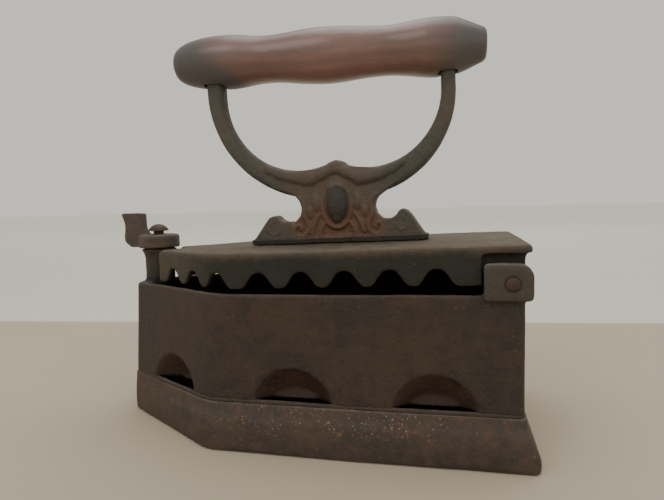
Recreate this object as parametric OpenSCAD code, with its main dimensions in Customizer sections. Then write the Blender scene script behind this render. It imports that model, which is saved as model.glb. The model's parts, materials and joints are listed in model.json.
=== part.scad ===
// Charcoal clothes iron: a cast box on a heavy sole, with a hinged lid, a turned grip and a swivel catch.
// Millimetres. +Z is up, -X is the toe, +X is the hinge end.
// The origin is the centre of the sole's length, on its flat underside.

/* [Sole] */
// Length of the sole, toe to heel
sole_l = 207; // [204:0.5:210]
// Width of the sole across the heel
sole_w = 105.6; // [104:0.2:107]
// Half width of the blunt toe
toe_half = 11.3; // [10.5:0.1:12]
// Height of the ledge that the casing stands on
sole_h = 21; // [20:0.5:22]
// Thickness of iron under the ash pit
sole_floor = 10; // [8:0.5:12]

/* [Casing] */
// Outside width of the casing
casing_w = 92.2; // [91:0.2:93]
// Back face of the casing, from the origin
casing_rear = 97.6; // [97:0.1:98]
// Toe of the casing at its foot, from the origin
casing_toe = 102.3; // [101.5:0.1:102.6]
// How far the toe leans back between foot and rim
toe_lean = 2; // [1:0.1:3]
// Thickness of the casing's walls
wall = 4; // [3.5:0.1:4.5]
// Height of the rim above the table, at the origin
rim_z = 71; // [70.6:0.1:71.2]
// Rise of the rim towards the hinge, in degrees
rim_tilt = 0.46; // [0.3:0.01:0.5]

/* [Air scoops] */
// Half width of each scoop's mouth, measured in the wall
scoop_half = 18.4; // [17:0.1:18.6]
// How far each scoop reaches in from the wall's face
scoop_depth = 10.5; // [9:0.1:11]
// Thickness of the scoop's bowl
scoop_t = 3; // [2.5:0.1:3.2]
// Middle of the rear pair of scoops, from the origin
scoop_rear_x = 60.9; // [60:0.1:61.2]
// Distance from the rear scoop to the middle scoop
scoop_pitch = 62.7; // [60:0.1:64]
// Middle of the front scoop, from the origin
scoop_bow_x = 69; // [67:0.1:70]

/* [Lid] */
// Width of the lid
lid_w = 89.6; // [89:0.1:90]
// Back edge of the lid, from the origin
lid_rear = 100.6; // [99:0.1:100.8]
// Front edge of the lid, from the origin
lid_toe = 88; // [87:0.1:89]
// Thickness of the lid's plate
lid_t = 4; // [3.5:0.1:4.5]
// Height of the lid's top above the table, at the origin
lid_z = 90.2; // [90:0.1:90.4]
// Rise of the lid's top towards the hinge, in degrees
lid_tilt = 1.49; // [1.3:0.01:1.6]
// Depth of the scalloped skirt, from the lid's top to the tips
skirt_h = 17; // [16.4:0.1:17.2]
// Thickness of the skirt
skirt_t = 3.2; // [2.8:0.1:3.4]
// Distance between scallops, along the skirt
scallop_pitch = 19.7; // [19:0.1:20]
// Depth of each scallop
scallop_h = 7.3; // [6.5:0.1:8]

/* [Hinge] */
// Distance of the hinge pin behind the origin
pin_x = 91.9; // [91.5:0.1:92.1]
// Height of the hinge pin above the table
pin_z = 76.7; // [76.4:0.1:77]
// Diameter of the hinge pin
pin_d = 4.4; // [4:0.1:4.6]
// Gap between the pin and the lid's ears, on the radius
pin_gap = 0.06; // [0.03:0.01:0.1]

/* [Handle] */
// Thickness of the yoke's arms, side to side
arm_t = 10; // [9:0.5:11]
// Width of the yoke's foot
foot_w = 15.6; // [15:0.2:17]
// Height of the grip's axis above the lid, at the origin
grip_z = 94; // [93:0.2:95]
// Fall of the grip towards the hinge, measured from the lid, in degrees
grip_drop = 2.2; // [2:0.05:2.4]
// How far the yoke's tenons enter the grip
tenon_h = 8; // [7:0.5:9]

/* [Catch] */
// Distance of the catch's rivet ahead of the origin
catch_x = 90.2; // [90:0.1:90.4]
// Top of the catch's post above the table
post_top = 88.3; // [88.2:0.1:88.5]
// Radius of the catch's round boss
boss_r = 11.2; // [11:0.1:11.3]
// Thickness of the catch's round boss
boss_h = 7.4; // [7:0.1:8]
// Diameter of the catch's rivet
rivet_d = 5.6; // [5:0.1:6]
// Gap between the rivet and the catch, on the radius
rivet_gap = 0.08; // [0.03:0.01:0.1]

/* [Hidden] */
$fn = 96;
eps = 0.01;
clear = 0.15;

iron = [0.24, 0.20, 0.17];
iron_dark = [0.20, 0.20, 0.18];
steel = [0.34, 0.32, 0.29];
wood = [0.42, 0.23, 0.17];

// Plan of the sole and of everything that stands on it
half_l = sole_l / 2;
half_w = sole_w / 2;
sole_slope = 0.674;
bow_slope = 0.596;
bow_turn = atan(bow_slope);
casing_half = casing_w / 2;
casing_toe_half = 10.5;
rim_toe_half = 7.8;
shell_top = 76;
pit_rear = 80.5;
pit_toe = 84;
ring_steps = 8;
heel_r = 3.5;
belly = 0.9;
belly_x = 25;
belly_r = 1200;

// Screws that hold the casing down, with the tabs that they pass through
tab_h = 5;
tab_r = 6;
screw_r = 2.4;
screw_spots = [[86.6, 35.8], [86.6, -35.8], [-75.5, 0]];

// Grate and the bosses that carry it
grate_z = 26;
grate_t = 4;
grate_half = 31;
grate_rear = 77;
grate_toe = 69.5;
grate_boss_r = 4;
grate_bosses = [[58, 19], [58, -19], [-40, 12], [-40, -12]];
bar_pitch = 9;
bar_slot = 5;

// Air scoops: a ball cut by the wall gives the round mouth and the bowl
scoop_z = 19.2;
scoop_out = (scoop_half * scoop_half - scoop_depth * scoop_depth) / (2 * scoop_depth);
scoop_r = scoop_depth + scoop_out;
side_lip = 6.6;
bow_lip = 9.2;
scoop_bow_y = casing_toe_half + bow_slope * (casing_toe - scoop_bow_x);

// Hinge: cheeks cast on the casing, ears cast on the lid
cheek_x0 = 80.6;
cheek_x1 = 100.4;
cheek_z0 = 69.4;
cheek_z1 = 85.2;
cheek_y = 49;
cheek_in = lid_w / 2 + 0.4;
ear_y0 = 38;
ear_y1 = 41.7;
ear_r = 5.8;
skirt_end = 80.3;
barrel_r = pin_x - skirt_end - 0.8;
slot_floor = 68.2;
pin_r = pin_d / 2;
pin_head_r = 3.3;
pin_head_h = 1.4;

// Lid
lid_half = lid_w / 2;
lid_toe_half = 10;
lid_slope = 0.669;
lid_shoulder_r = 40;
lid_side_l = skirt_end + lid_toe - (lid_half - lid_toe_half) / lid_slope;
nose_clear = boss_r + 2.2;
apron_x = 86.9;
apron_t = 3.2;
solid_front = 74.5;
first_scallop = 18.4;
scallops = 8;
bow_scallop = 5;
bow_shift = 2.6;
solid_far = 62;

// Yoke, measured in the lid's own frame
front_arm = [3.8, 80.7];
front_arm_r = 58.2;
front_bay = [-5.5, 77];
front_bay_r = 39.3;
rear_arm = [22.7, 72.7];
rear_arm_r = 50;
rear_bay = [29.4, 73.3];
rear_bay_r = 36;
neck_r = 6.2;
front_neck = [-14.2, 17.8];
rear_neck = [37.6, 17.4];
hump_r = 6.5;
front_hump = [-19.3, 8.6];
rear_hump = [43.4, 9.4];
foot_x0 = -34;
foot_x1 = 57.4;
foot_gap = 0.8;
panel_t = 11;
hump_t = 13;
bolt_r = 3;
bolt_spots = [-19, 43];
bolt_reach = 9;
washer_t = 1.5;

// Grip: radius at each swell and waist along its axis, joined by smooth curves
grip_front = -70.8;
grip_rear = 87.6;
grip_knots = [[-42.5, 13.9], [-20.5, 12], [8.5, 14], [40.5, 12], [63.5, 14.1]];
grip_end_r = 6;
grip_steps = 10;
front_tenon_x = (front_arm.x - front_arm_r + front_bay.x - front_bay_r) / 2;
rear_tenon_x = (rear_arm.x + rear_arm_r + rear_bay.x + rear_bay_r) / 2;
front_tenon_w = front_bay.x - front_bay_r - front_arm.x + front_arm_r;
rear_tenon_w = rear_arm.x + rear_arm_r - rear_bay.x - rear_bay_r;
wood_screw_r = 2;
wood_screw_head_r = 4;
wood_screw_head_h = 1.9;

// Catch
lobe_r = 15.5;
lobe_angle = 105;
lobe_spread = 20;
lobe_h = 5;
post_r = 8;
post_flare_r = 9.8;
rivet_lift = 1.7;
rivet_head_r = 5.65;
rivet_head_h = 3.9;
thumb_t = 5.5;
thumb_top = 107.6;

// ---- helpers ----

function unit(v) = v / norm(v);

function corner_arc(p0, p1, p2, r, n) =
    let (
        u = unit(p0 - p1),
        v = unit(p2 - p1),
        half = acos(u * v) / 2,
        centre = p1 + unit(u + v) * r / sin(half),
        start = p1 + u * r / tan(half) - centre,
        a0 = atan2(start.y, start.x),
        way = sign(v.x * -u.y + v.y * u.x) * -1
    )
    [for (i = [0:n]) centre + r * [cos(a0 + way * (180 - 2 * half) * i / n),
                                   sin(a0 + way * (180 - 2 * half) * i / n)]];

function rounded(pts, radii, n = 6) =
    let (count = len(pts))
    [for (i = [0:count - 1])
        each corner_arc(pts[(i + count - 1) % count], pts[i], pts[(i + 1) % count], radii[i], n)];

// Boat-shaped plan: square heel, slightly bellied sides, straight bow, blunt toe
function plan(rear, half, toe, toe_w, slope, heel = heel_r, shoulder = 18, tip = 4) =
    let (sx = -toe + (half - toe_w) / slope)
    rounded([[rear, -half], [rear, half], [belly_x, half + belly], [sx, half], [-toe, toe_w],
             [-toe, -toe_w], [sx, -half], [belly_x, -half - belly]],
            [heel, heel, belly_r, shoulder, tip, tip, shoulder, belly_r], ring_steps);

// Plan drawn inside another one by a constant margin
function inset_plan(rear, half, toe, toe_w, slope, by, heel = heel_r, shoulder = 18, tip = 4) =
    plan(rear - by, half - by, toe - by, toe_w - by * (sqrt(1 + slope * slope) - slope), slope,
         heel, shoulder, tip);

// Smooth skin through rings of points, given as [height, points]
module loft(rings) {
    n = len(rings[0][1]);
    last = len(rings) - 1;
    points = [for (r = rings) each [for (p = r[1]) [p.x, p.y, r[0]]]];
    sides = [for (k = [0:last - 1]) each [for (i = [0:n - 1])
        let (a = k * n + i, b = k * n + (i + 1) % n)
        each [[a, a + n, b + n], [a, b + n, b]]]];
    bottom = [for (i = [0:n - 1]) i];
    top = [for (i = [n - 1:-1:0]) last * n + i];
    polyhedron(points = points, faces = concat([bottom], sides, [top]), convexity = 4);
}

module both_sides() {
    children();
    mirror([0, 1, 0]) children();
}

module at_spots(spots) {
    for (p = spots) translate([p.x, p.y, 0]) children();
}

// The lid's own frame: its origin is on the lid's top, its X runs along the slope
module on_lid() {
    translate([0, 0, lid_z]) rotate([0, -lid_tilt, 0]) children();
}

// A shape drawn in X and Z, given a thickness about the middle plane
module upright(t) {
    rotate([90, 0, 0]) linear_extrude(height = t, center = true) children();
}

// Everything above the rim, raised or lowered by up
module above_rim(up = 0) {
    translate([0, 0, rim_z + up]) rotate([0, -rim_tilt, 0]) translate([-150, -80, 0]) cube([300, 160, 60]);
}

module at_side_scoops() {
    both_sides() for (k = [0, 1])
        translate([scoop_rear_x - k * scoop_pitch, -casing_half - belly / 2, 0]) children();
}

module at_bow_scoops() {
    both_sides() translate([-scoop_bow_x, -scoop_bow_y, 0]) rotate([0, 0, -bow_turn]) children();
}

module at_scoops() {
    at_side_scoops() children();
    at_bow_scoops() children();
}

// ---- sole ----

module sole_body() {
    loft([
        [0, inset_plan(half_l, half_w, half_l, toe_half, sole_slope, 0.4)],
        [0.8, plan(half_l, half_w, half_l, toe_half, sole_slope)],
        [5.5, plan(half_l, half_w, half_l, toe_half, sole_slope)],
        [10, plan(half_l - 2, half_w - 0.3, half_l, toe_half - 0.2, sole_slope)],
        [14.5, plan(half_l - 3.8, half_w - 1.3, half_l - 0.1, toe_half - 0.6, sole_slope)],
        [17.5, plan(half_l - 4.9, half_w - 3.9, half_l - 0.3, toe_half - 1, 0.64)],
        [sole_h, plan(half_l - 5.2, half_w - 5.4, half_l - 0.6, toe_half - 0.5, 0.61)]
    ]);
}

module ash_pit() {
    translate([0, 0, sole_floor]) linear_extrude(height = sole_h)
        polygon(plan(pit_rear, casing_half - 3.2, pit_toe, 17, bow_slope, heel = 5, shoulder = 20, tip = 6));
}

// Where a scoop opens down into the ash pit the sole's wall is thinner
module scoop_relief() {
    translate([-16, 0.9, sole_h - 7]) cube([32, 6, 8]);
}

module sole_plate() {
    color(iron) difference() {
        union() {
            difference() {
                sole_body();
                ash_pit();
                at_scoops() scoop_relief();
            }
            translate([0, 0, sole_floor - 1]) {
                at_spots(grate_bosses) cylinder(r = grate_boss_r, h = grate_z - sole_floor + 1);
                at_spots([screw_spots[2]]) cylinder(r = tab_r, h = sole_h - sole_floor + 1);
            }
        }
        translate([0, 0, sole_floor + 1]) at_spots(screw_spots) cylinder(r = screw_r, h = sole_h);
    }
}

// ---- casing ----

module casing_solid(by = 0, z0 = sole_h) {
    loft([
        [z0, inset_plan(casing_rear, casing_half, casing_toe, casing_toe_half, bow_slope, by,
                        heel = 3.5, shoulder = 26)],
        [shell_top, inset_plan(casing_rear, casing_half, casing_toe - toe_lean, rim_toe_half, bow_slope, by,
                               heel = 3.5, shoulder = 40)]
    ]);
}

module scoop_ball(r) {
    translate([0, -scoop_out, scoop_z]) sphere(r = r);
}

// The hollow of a scoop: its bowl curls back below, and opens to the pit as deep as the lip
module scoop_hollow(lip) {
    intersection() {
        scoop_ball(scoop_r);
        rotate([90, 0, 90]) linear_extrude(height = 60, center = true) polygon([
            [-40, -20], [lip, -20], [lip, sole_h + 0.6], [lip + 4, sole_h + 6], [lip + 20, sole_h + 30],
            [-40, sole_h + 30]]);
    }
}

// The post is a full-height column in the toe, with a flared collar under the catch
module catch_post() {
    translate([-catch_x, 0, 0]) rotate_extrude() polygon([
        [0, sole_h], [post_r, sole_h], [post_r, post_top - 5.5], [post_r + 0.5, post_top - 3],
        [post_flare_r, post_top - 0.8], [post_flare_r, post_top], [0, post_top]]);
}

// Cheek outline in X and Z, thick from y0 out to y1
module cheek_slab(y0, y1) {
    outline = rounded(
        [[cheek_x0, cheek_z0], [cheek_x1, cheek_z0], [cheek_x1, cheek_z1], [cheek_x0, cheek_z1]],
        [1.5, 2.5, 6, 1.5]);
    translate([0, y1, 0]) rotate([90, 0, 0]) linear_extrude(height = y1 - y0) polygon(outline);
}

// A flat cheek outside the lid, with a round barrel inside it that bears on the lid's ear
module hinge_cheek() {
    cheek_slab(cheek_in, cheek_y);
    intersection() {
        cheek_slab(ear_y1 + 0.4, cheek_y - 1);
        translate([pin_x, 0, pin_z]) rotate([-90, 0, 0]) cylinder(r = barrel_r, h = 60);
    }
}

module screw_tabs() {
    translate([0, 0, sole_h]) {
        both_sides() translate([screw_spots[0].x, screw_spots[0].y, 0]) {
            cylinder(r = tab_r, h = tab_h);
            translate([-tab_r, 0, 0]) cube([2 * tab_r + 2, 9, tab_h]);
            translate([0, -tab_r, 0]) cube([9, 2 * tab_r + 2, tab_h]);
        }
        translate([screw_spots[2].x, 0, 0]) cylinder(r = tab_r, h = tab_h);
        translate([-catch_x, -tab_r, 0]) cube([catch_x + screw_spots[2].x, 2 * tab_r, tab_h]);
    }
}

module casing() {
    color(iron) difference() {
        union() {
            difference() {
                casing_solid();
                casing_solid(by = wall, z0 = sole_h - 1);
                above_rim();
            }
            intersection() {
                casing_solid();
                at_scoops() scoop_ball(scoop_r + scoop_t);
            }
            intersection() {
                casing_solid();
                screw_tabs();
            }
            catch_post();
            both_sides() hinge_cheek();
        }
        at_side_scoops() scoop_hollow(side_lip);
        at_bow_scoops() scoop_hollow(bow_lip);
        at_spots(screw_spots) translate([0, 0, sole_h - 1]) cylinder(r = screw_r + 0.2, h = tab_h + 2);
        translate([-catch_x, 0, post_top - 20]) cylinder(r = rivet_d / 2, h = 30);
        translate([pin_x, 0, pin_z]) rotate([90, 0, 0]) cylinder(r = pin_r + 0.02, h = 120, center = true);
        both_sides() translate([pin_x - 3, ear_y0 - 0.4, slot_floor]) cube([12, ear_y1 - ear_y0 + 0.8, 8]);
    }
}

// ---- inside the box ----

module grate() {
    edge = 4;
    color(iron_dark) translate([0, 0, grate_z]) difference() {
        linear_extrude(height = grate_t)
            polygon(plan(grate_rear, grate_half, grate_toe, 8, bow_slope, heel = 4, shoulder = 14, tip = 4));
        intersection() {
            translate([0, 0, -1]) linear_extrude(height = grate_t + 2)
                polygon(inset_plan(grate_rear, grate_half, grate_toe, 8, bow_slope, edge,
                                   heel = 3, shoulder = 12, tip = 2));
            for (k = [-3:3], x = [-90, -34, 26])
                translate([x, k * bar_pitch - bar_slot / 2, -1])
                    cube([x < 0 ? 50 : 52, bar_slot, grate_t + 2]);
        }
    }
}

module pan_head_screw(reach) {
    translate([0, 0, -reach]) cylinder(r = screw_r - 0.03, h = reach + 0.5);
    difference() {
        cylinder(r = 4.6, h = 3);
        translate([-5, -0.6, 1.8]) cube([10, 1.2, 2]);
    }
}

module casing_screws() {
    color(steel) at_spots(screw_spots) translate([0, 0, sole_h + tab_h]) pan_head_screw(tab_h + 9);
}

module hinge_pin() {
    dome_r = (pin_head_r * pin_head_r + pin_head_h * pin_head_h) / (2 * pin_head_h);
    color(steel) translate([pin_x, 0, pin_z]) {
        rotate([90, 0, 0]) cylinder(r = pin_r, h = 2 * cheek_y + 0.4, center = true);
        both_sides() intersection() {
            translate([0, cheek_y + 0.1 + pin_head_h - dome_r, 0]) sphere(r = dome_r);
            translate([0, cheek_y + 0.1, 0]) rotate([-90, 0, 0]) cylinder(r = pin_head_r, h = 5);
        }
    }
}

// ---- catch ----

module catch_boss() {
    bevel = 1.4;
    rotate_extrude() polygon([
        [rivet_d / 2 + rivet_gap, 0], [boss_r - 0.6, 0], [boss_r, 0.6], [boss_r, boss_h - bevel],
        [boss_r - bevel * 0.4, boss_h - bevel * 0.4], [boss_r - bevel, boss_h],
        [rivet_d / 2 + rivet_gap, boss_h]]);
}

// The locking lobe: a short arc of a wider disc
module catch_lobe() {
    inner = boss_r - 2;
    rotate([0, 0, lobe_angle - lobe_spread]) rotate_extrude(angle = 2 * lobe_spread)
        translate([inner, 0]) square([lobe_r - inner, lobe_h]);
}

// Thumb piece: a fin with a turned-out lip at the top, drawn in X and Z
module thumb_fin() {
    base_z = post_top + 0.1;
    upright(thumb_t) polygon(rounded(
        [[-92, base_z], [-96, base_z + boss_h - 0.6], [-98.4, base_z + 11], [-98.4, thumb_top],
         [-110.6, thumb_top + 0.2], [-111.3, thumb_top - 1], [-109.3, 101], [-110.3, 92], [-106.2, base_z]],
        [0.5, 5, 4, 1.2, 0.4, 0.4, 9, 4, 1.5]));
}

module catch() {
    color(iron) difference() {
        union() {
            translate([-catch_x, 0, post_top + 0.1]) {
                catch_boss();
                catch_lobe();
            }
            thumb_fin();
        }
        translate([-catch_x, 0, post_top - 5]) cylinder(r = rivet_d / 2 + rivet_gap, h = 30);
    }
}

module catch_rivet() {
    head_z = post_top + 0.1 + boss_h + rivet_lift;
    dome_r = (rivet_head_r * rivet_head_r + rivet_head_h * rivet_head_h) / (2 * rivet_head_h);
    color(steel) translate([-catch_x, 0, 0]) {
        translate([0, 0, post_top - 20]) cylinder(r = rivet_d / 2, h = head_z - post_top + 21);
        intersection() {
            translate([0, 0, head_z + rivet_head_h - dome_r]) sphere(r = dome_r);
            translate([0, 0, head_z]) cylinder(r = rivet_head_r, h = rivet_head_h + 1);
        }
    }
}

// ---- lid ----

function lid_plan(by = 0) =
    inset_plan(lid_rear, lid_half, lid_toe, lid_toe_half, lid_slope, by, heel = 4, shoulder = lid_shoulder_r);

module lid_plate() {
    loft([[-lid_t, lid_plan()], [-1.8, lid_plan()], [-0.6, lid_plan(0.7)], [0, lid_plan(2.4)]]);
}

module skirt_ring(z0, z1) {
    translate([0, 0, z0]) linear_extrude(height = z1 - z0) difference() {
        polygon(lid_plan());
        polygon(lid_plan(skirt_t));
    }
}

// One scallop: a round-topped notch with steep flanks, between tips that are as round
module scallop() {
    half = scallop_pitch / 2;
    bell = [for (i = [-12:12])
        let (t = i / 12, wave = 0.5 + 0.5 * cos(180 * t), steep = wave * wave * (3 - 2 * wave))
        [t * half, scallop_h * (wave + 2 * steep) / 3]];
    rotate([90, 0, 0]) linear_extrude(height = 16, center = true)
        polygon(concat([[-half, -8]], bell, [[half, -8]]));
}

// Point and turn of the skirt at a distance from its rear end: side, shoulder arc, then bow
function skirt_place(s) =
    let (
        turn = atan(lid_slope),
        tangent = lid_shoulder_r * tan(turn / 2),
        arc = lid_shoulder_r * turn * PI / 180,
        on_arc = s - (lid_side_l - tangent),
        past = on_arc - arc,
        a = turn * on_arc / arc,
        cx = skirt_end - lid_side_l + tangent,
        cy = lid_half - lid_shoulder_r,
        ex = cx - lid_shoulder_r * sin(turn),
        ey = cy + lid_shoulder_r * cos(turn)
    )
    on_arc < 0 ? [skirt_end - s, lid_half, 0] :
    past < 0 ? [cx - lid_shoulder_r * sin(a), cy + lid_shoulder_r * cos(a), a] :
    [ex - past * cos(turn), ey - past * sin(turn), turn];

// Scallops from the hinge towards the toe; the pitch has one longer step at the shoulder
module scallop_row(count) {
    for (k = [0:count - 1]) {
        place = skirt_place(first_scallop + k * scallop_pitch + (k < bow_scallop ? 0 : bow_shift));
        translate([place[0], place[1], -skirt_h]) rotate([0, 0, place[2]]) scallop();
    }
}

module lid_ear() {
    side = rounded([[81, 80.5], [pin_x - 3, pin_z - 4.6], [pin_x + ear_r - 0.8, pin_z - 1],
                    [98.2, lid_z - 0.5], [81, lid_z - 0.5]],
                   [2, 1, 1, 0.5, 0.5]);
    translate([0, ear_y1, 0]) rotate([90, 0, 0]) linear_extrude(height = ear_y1 - ear_y0) union() {
        polygon(side);
        translate([pin_x, pin_z]) circle(r = ear_r);
    }
}

module lid_apron() {
    translate([apron_x, -ear_y1 + 1, 72.6]) cube([apron_t, 2 * ear_y1 - 2, 16.5]);
}

module lid() {
    color(iron_dark) difference() {
        union() {
            on_lid() {
                lid_plate();
                difference() {
                    union() {
                        skirt_ring(-skirt_h, 0.5 - lid_t);
                        intersection() {
                            skirt_ring(-24, 0.5 - lid_t);
                            union() {
                                translate([-150, -50, -30]) cube([150 - solid_front, 60, 40]);
                                translate([-150, 0, -30]) cube([150 - solid_far, 50, 40]);
                            }
                        }
                    }
                    scallop_row(scallops - 1);
                    mirror([0, 1, 0]) scallop_row(scallops);
                    translate([skirt_end, -60, -40]) cube([40, 120, 40 - lid_t - 0.1]);
                }
            }
            both_sides() lid_ear();
            lid_apron();
        }
        translate([0, 0, -59.8]) above_rim();
        translate([-catch_x, 0, 40]) cylinder(r = nose_clear, h = 60);
        translate([pin_x, 0, pin_z]) rotate([90, 0, 0]) cylinder(r = pin_r + pin_gap, h = 120, center = true);
        on_lid() for (x = bolt_spots) translate([x, 0, -10]) cylinder(r = bolt_r + 0.2, h = 20);
    }
}

// ---- handle ----

module arms_profile() {
    difference() {
        union() {
            intersection() {
                translate(front_arm) circle(r = front_arm_r);
                translate([-60, 0]) square([72, front_arm.y]);
            }
            intersection() {
                translate(rear_arm) circle(r = rear_arm_r);
                translate([12, 0]) square([70, rear_arm.y]);
            }
            translate([front_arm.x - front_arm_r, front_arm.y - 1]) square([30, 30]);
            translate([rear_bay.x, rear_arm.y - 1]) square([rear_arm.x + rear_arm_r - rear_bay.x, 30]);
            polygon([[-21, 29.3], [-15.5, 27.2], [-9.6, 24.6], [-7.3, 21.5], [-6.3, 18.2], [-7, 14.5],
                     [-10.4, 11], [35.7, 11], [32.4, 14], [31.5, 17.4], [32, 20.2], [33.6, 22.6],
                     [39.9, 26.7], [43, 29], [43, 34], [-21, 34]]);
        }
        translate(front_bay) circle(r = front_bay_r);
        translate(rear_bay) circle(r = rear_bay_r);
        translate([front_bay.x - front_bay_r, front_bay.y]) square([50, 40]);
        translate([rear_bay.x + rear_bay_r - 60, rear_bay.y]) square([60, 40]);
        translate(front_neck) circle(r = neck_r);
        translate(rear_neck) circle(r = neck_r);
    }
}

module foot_profile() {
    difference() {
        union() {
            translate(front_hump) circle(r = hump_r);
            translate(rear_hump) circle(r = hump_r);
            polygon([[foot_x0 + 1, foot_gap], [foot_x0 + 1.5, 2.6], [front_hump.x - 4.8, front_hump.y + 4.4],
                     [front_hump.x, front_hump.y + hump_r - 0.2], [front_neck.x + 4, 12.5],
                     [rear_neck.x - 4, 12.5], [rear_hump.x, rear_hump.y + hump_r - 0.2],
                     [rear_hump.x + 4.8, rear_hump.y + 4.4],
                     [foot_x1 - 1.5, 2.6], [foot_x1 - 1, foot_gap]]);
        }
        translate([-60, foot_gap - 20]) square([140, 20]);
        translate(front_neck) circle(r = neck_r);
        translate(rear_neck) circle(r = neck_r);
    }
}

// Raised frame and oval cabochon on each face of the waist
module waist_ornament() {
    oval = [for (i = [0:35]) [12.3 + 5.2 * cos(i * 10), 21 + 8.2 * sin(i * 10)]];
    rim = [for (i = [0:35]) [12.3 + 6.8 * cos(i * 10), 21 + 9.8 * sin(i * 10)]];
    upright(panel_t + 1.6) polygon(rim);
    upright(panel_t + 4) polygon(oval);
}

function grip_bottom(x) = grip_z - 13 - x * tan(grip_drop);

module handle_yoke() {
    color(iron) on_lid() difference() {
        union() {
            intersection() {
                upright(arm_t) arms_profile();
                translate([-100, -20, 0]) cube([100 + 12, 40, grip_bottom(front_tenon_x) + tenon_h]);
            }
            intersection() {
                upright(arm_t) arms_profile();
                translate([12 - eps, -20, 0]) cube([80, 40, grip_bottom(rear_tenon_x) + tenon_h]);
            }
            upright(panel_t) intersection() {
                arms_profile();
                translate([-16, 0]) square([56, 36]);
            }
            upright(hump_t) foot_profile();
            translate([0, 0, foot_gap]) linear_extrude(height = 2.4) polygon(rounded(
                [[foot_x0, -foot_w / 2], [foot_x1, -foot_w / 2], [foot_x1, foot_w / 2],
                 [foot_x0, foot_w / 2]], [3, 3, 3, 3]));
            for (x = bolt_spots) translate([x, 0, 0]) cylinder(r = 6, h = 2);
            waist_ornament();
        }
        for (x = bolt_spots) translate([x, 0, -1]) cylinder(r = bolt_r - 0.05, h = bolt_reach + 1.5);
        for (t = tenons) translate([t[0], 0, t[2] - 16]) cylinder(r = wood_screw_r, h = 30);
    }
}

module yoke_bolts() {
    color(steel) on_lid() for (x = bolt_spots) translate([x, 0, -lid_t - washer_t]) {
        cylinder(r = bolt_r - 0.08, h = lid_t + washer_t + bolt_reach);
        translate([0, 0, -4]) cylinder(r = 5.6, h = 4, $fn = 6);
    }
}

module yoke_washers() {
    color(steel) on_lid() for (x = bolt_spots) translate([x, 0, -lid_t - washer_t]) difference() {
        cylinder(r = 7.5, h = washer_t);
        translate([0, 0, -1]) cylinder(r = bolt_r, h = washer_t + 2);
    }
}

function ease(t) = (1 - cos(180 * t)) / 2;

// Outline of the turned grip from its front end to its blunt rear end, as [radius, distance]
function grip_outline() =
    let (
        first = grip_knots[0],
        last = grip_knots[len(grip_knots) - 1],
        n = grip_steps
    )
    concat(
        [[0, grip_front]],
        [for (i = [0:n - 1])
            let (a = 90 * i / n)
            [grip_end_r + (first[1] - grip_end_r) * sin(a), first[0] - (first[0] - grip_front) * cos(a)]],
        [for (k = [0:len(grip_knots) - 2], i = [0:n - 1])
            let (p = grip_knots[k], q = grip_knots[k + 1], t = i / n)
            [p[1] + (q[1] - p[1]) * ease(t), p[0] + (q[0] - p[0]) * t]],
        [[last[1], last[0]], [last[1] - 0.15, last[0] + 5], [last[1] - 0.7, last[0] + 9.5],
         [last[1] - 2.6, last[0] + 14.5], [grip_end_r + 1.8, grip_rear - 1.2], [grip_end_r, grip_rear],
         [0, grip_rear]]);

module in_grip() {
    on_lid() translate([0, 0, grip_z]) rotate([0, grip_drop, 0]) children();
}

// Each spot is [distance along the grip, width of the arm's tenon, height of its top]
tenons = [[front_tenon_x, front_tenon_w, grip_bottom(front_tenon_x) + tenon_h],
          [rear_tenon_x, rear_tenon_w, grip_bottom(rear_tenon_x) + tenon_h]];

// Height of the screw heads' seat, sunk into the top of the grip
function grip_head_z(x) = grip_z - x * tan(grip_drop) + 10.6;

module grip() {
    color(wood) difference() {
        in_grip() rotate([0, 90, 0]) rotate_extrude() polygon(grip_outline());
        on_lid() for (t = tenons) {
            translate([t[0] - t[1] / 2 - clear, -arm_t / 2 - clear, grip_z - 40])
                cube([t[1] + 2 * clear, arm_t + 2 * clear, t[2] - grip_z + 40 + clear]);
            translate([t[0], 0, grip_z - 20]) cylinder(r = wood_screw_r + 0.1, h = 50);
            translate([t[0], 0, grip_head_z(t[0])])
                cylinder(r1 = wood_screw_r + 0.05, r2 = wood_screw_head_r + 0.05, h = wood_screw_head_h);
            translate([t[0], 0, grip_head_z(t[0]) + wood_screw_head_h - eps])
                cylinder(r = wood_screw_head_r + 0.05, h = 20);
        }
    }
}

module grip_screws() {
    color(steel) on_lid() for (t = tenons) {
        translate([t[0], 0, t[2] - 13])
            cylinder(r = wood_screw_r - 0.03, h = grip_head_z(t[0]) - t[2] + 13.5);
        translate([t[0], 0, grip_head_z(t[0])]) difference() {
            cylinder(r1 = wood_screw_r, r2 = wood_screw_head_r, h = wood_screw_head_h);
            translate([-5, -0.4, wood_screw_head_h - 0.9]) cube([10, 0.8, 2]);
        }
    }
}

sole_plate();
casing();
grate();
casing_screws();
hinge_pin();
catch_rivet();
catch();
lid();
handle_yoke();
yoke_bolts();
yoke_washers();
grip();
grip_screws();
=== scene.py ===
"""Looks of a charcoal clothes iron: rusted castings, a sculpted yoke, a turned grip and a soft studio.

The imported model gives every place. Its frame has +Z up, -X at the toe and +X at the hinge, in metres.
Sizes in this file are in millimetres, and become metres as a mesh or a material is made.
"""

import json
import logging
import math
from dataclasses import dataclass, field
from enum import Enum
from typing import Any, Iterable, Mapping, Sequence

import bmesh
import bpy
from mathutils import Matrix, Vector

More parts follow.
